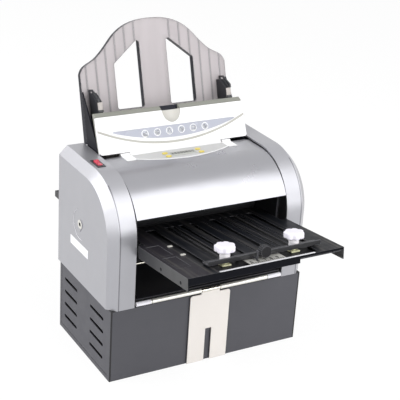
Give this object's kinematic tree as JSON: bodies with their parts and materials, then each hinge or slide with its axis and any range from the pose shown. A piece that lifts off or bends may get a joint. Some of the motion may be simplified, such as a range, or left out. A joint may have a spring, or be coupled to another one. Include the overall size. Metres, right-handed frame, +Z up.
{
  "type": "desktop paper folding machine",
  "caption": "Desktop paper folder: sheet hopper with side guides and lid, geared fold rollers, front and rear fold plates with sliding stops, and a hinged exit tray over a vented base.",
  "frame": {"origin": "centre of the base's footprint, on the underside of its floor plate, level with the table", "axes": "+X to the machine's right, +Y to the rear (the front fold plate points along -Y), +Z up"},
  "size_m": [0.3381, 0.4552, 0.4854],
  "materials": {
    "steel_charcoal": "satin",
    "rubber_black": "matte",
    "rubber_grey": "matte",
    "plastic_black": "satin",
    "board_green": "satin",
    "shell_silver": "metallic satin",
    "steel_black": "satin",
    "steel_bright": "brushed",
    "bronze": "satin",
    "motor_grey": "satin",
    "support_grey": "satin",
    "plastic_white": "gloss",
    "plastic_grey": "satin",
    "scale_aluminium": "satin",
    "display": "gloss",
    "button_yellow": "gloss",
    "switch_red": "gloss"
  },
  "bodies": {
    "housing": {"base_chassis": "steel_charcoal", "base_left_panel": "steel_charcoal", "base_right_panel": "steel_charcoal", "base_front_panel": "steel_charcoal", "base_feet": "rubber_black", "drive_belt": "rubber_black", "feed_belt": "rubber_black", "power_inlet": "plastic_black", "switch_bezel": "plastic_black", "circuit_board": "board_green", "left_side_cover": "shell_silver", "right_side_cover": "shell_silver", "front_cover": "shell_silver", "rear_cover": "steel_black", "left_frame": "steel_black", "right_frame": "steel_black", "hopper_tray": "steel_black", "front_fold_plate": "steel_black", "front_lower_sheet": "steel_black", "rear_fold_plate": "steel_black", "rear_lower_sheet": "steel_black", "exit_chute": "steel_black", "tie_rods": "steel_bright", "guide_rail": "steel_bright", "front_edge_strip": "steel_bright", "hinge_tubes": "steel_bright", "shaft_bushes": "bronze", "motor": "motor_grey", "paper_support": "support_grey", "control_panel_rim": "plastic_white", "hinge_knuckles": "plastic_white", "control_panel_plate": "plastic_grey", "scale_plate": "scale_aluminium", "lcd_window": "display"},
    "lid": {"lid_outer": "plastic_white", "lid_inner": "plastic_grey", "lid_hinge_pins": "steel_bright"},
    "left_guide_body": {"left_guide": "plastic_black"},
    "right_guide_body": {"right_guide": "plastic_black"},
    "front_stop": {"front_stop_bar": "steel_black", "front_clamp_nuts": "bronze"},
    "front_left_knob": {"front_knob_left": "plastic_white"},
    "front_right_knob": {"front_knob_right": "plastic_white"},
    "dial": {"fine_dial": "plastic_black"},
    "rear_stop": {"rear_stop_bar": "steel_black"},
    "rear_left_knob": {"rear_knob_left": "plastic_white"},
    "rear_right_knob": {"rear_knob_right": "plastic_white"},
    "tray": {"exit_tray": "steel_bright", "tray_knuckle": "plastic_white"},
    "rocker": {"switch_rocker": "switch_red"},
    "button_1": {"button_left_rear": "button_yellow"},
    "button_2": {"button_left_front": "button_yellow"},
    "button_3": {"button_right_rear": "button_yellow"},
    "button_4": {"button_right_front": "button_yellow"},
    "roller_1": {"fold_roller_1": "rubber_grey"},
    "roller_2": {"fold_roller_2": "rubber_grey"},
    "roller_3": {"fold_roller_3": "rubber_grey"},
    "roller_4": {"fold_roller_4": "rubber_grey"},
    "feeder": {"feed_roller": "rubber_black"},
    "motor_rotor": {"motor_pulley": "steel_bright"}
  },
  "joints": [
    {"name": "lid_hinge", "type": "hinge", "parent": "housing", "child": "lid", "pos_m": [0, 0.0335, 0.3045], "axis": [1, 0, 0], "range_deg": [0, 55]},
    {"name": "left_guide_slide", "type": "slide", "parent": "housing", "child": "left_guide_body", "axis": [1, 0, 0], "range_m": [0, 0.056]},
    {"name": "right_guide_slide", "type": "slide", "parent": "housing", "child": "right_guide_body", "axis": [-1, 0, 0], "range_m": [0, 0.056]},
    {"name": "front_stop_slide", "type": "slide", "parent": "housing", "child": "front_stop", "axis": [0, 0.9929, -0.1191], "range_m": [0, 0.1]},
    {"name": "front_left_knob_turn", "type": "hinge", "parent": "front_stop", "child": "front_left_knob", "pos_m": [-0.0525, -0.21043, 0.25342], "axis": [0, 0.1191, 0.9929], "range_deg": [-180, 0]},
    {"name": "front_right_knob_turn", "type": "hinge", "parent": "front_stop", "child": "front_right_knob", "pos_m": [0.061, -0.21043, 0.25342], "axis": [0, 0.1191, 0.9929], "range_deg": [-180, 0]},
    {"name": "dial_turn", "type": "hinge", "parent": "front_stop", "child": "dial", "pos_m": [0.002, -0.22782, 0.24705], "axis": [0, 0.9929, -0.1191], "continuous": true},
    {"name": "rear_stop_slide", "type": "slide", "parent": "housing", "child": "rear_stop", "axis": [0, -1, 0], "range_m": [0, 0.062]},
    {"name": "rear_left_knob_turn", "type": "hinge", "parent": "rear_stop", "child": "rear_left_knob", "pos_m": [-0.061, 0.1795, 0.2046], "axis": [0, 0, 1], "range_deg": [-180, 0]},
    {"name": "rear_right_knob_turn", "type": "hinge", "parent": "rear_stop", "child": "rear_right_knob", "pos_m": [0.0525, 0.1795, 0.2046], "axis": [0, 0, 1], "range_deg": [-180, 0]},
    {"name": "tray_hinge", "type": "hinge", "parent": "housing", "child": "tray", "pos_m": [0, -0.0956, 0.124], "axis": [-1, 0, 0], "range_deg": [0, 100]},
    {"name": "switch_tip", "type": "hinge", "parent": "housing", "child": "rocker", "pos_m": [-0.1445, 0.0068, 0.3075], "axis": [-1, 0, 0], "range_deg": [0, 10]},
    {"name": "button_1_press", "type": "slide", "parent": "housing", "child": "button_1", "axis": [0, 0, -1], "range_m": [0, 0.0008], "stiffness_N_per_m": 300, "springref_m": -0.0002},
    {"name": "button_2_press", "type": "slide", "parent": "housing", "child": "button_2", "axis": [0, 0, -1], "range_m": [0, 0.0008], "stiffness_N_per_m": 300, "springref_m": -0.0002},
    {"name": "button_3_press", "type": "slide", "parent": "housing", "child": "button_3", "axis": [0, 0, -1], "range_m": [0, 0.0008], "stiffness_N_per_m": 300, "springref_m": -0.0002},
    {"name": "button_4_press", "type": "slide", "parent": "housing", "child": "button_4", "axis": [0, 0, -1], "range_m": [0, 0.0008], "stiffness_N_per_m": 300, "springref_m": -0.0002},
    {"name": "roller_1_spin", "type": "hinge", "parent": "housing", "child": "roller_1", "pos_m": [0, -0.01, 0.2182], "axis": [1, 0, 0], "continuous": true},
    {"name": "roller_2_spin", "type": "hinge", "parent": "housing", "child": "roller_2", "pos_m": [0, -0.01, 0.1938], "axis": [1, 0, 0], "continuous": true},
    {"name": "roller_3_spin", "type": "hinge", "parent": "housing", "child": "roller_3", "pos_m": [0, -0.01, 0.1694], "axis": [1, 0, 0], "continuous": true},
    {"name": "roller_4_spin", "type": "hinge", "parent": "housing", "child": "roller_4", "pos_m": [0, -0.01, 0.145], "axis": [1, 0, 0], "continuous": true},
    {"name": "feed_spin", "type": "hinge", "parent": "housing", "child": "feeder", "pos_m": [0, 0.052, 0.251], "axis": [1, 0, 0], "continuous": true},
    {"name": "motor_spin", "type": "hinge", "parent": "housing", "child": "motor_rotor", "pos_m": [0.12, 0.05, 0.148], "axis": [1, 0, 0], "continuous": true}
  ],
  "couplings": [
    {"joint": "roller_1_spin", "follows": "roller_2_spin", "ratio": -1},
    {"joint": "roller_3_spin", "follows": "roller_2_spin", "ratio": -1},
    {"joint": "roller_4_spin", "follows": "roller_2_spin", "ratio": 1},
    {"joint": "feed_spin", "follows": "roller_2_spin", "ratio": -1},
    {"joint": "motor_spin", "follows": "roller_2_spin", "ratio": 1.5}
  ]
}
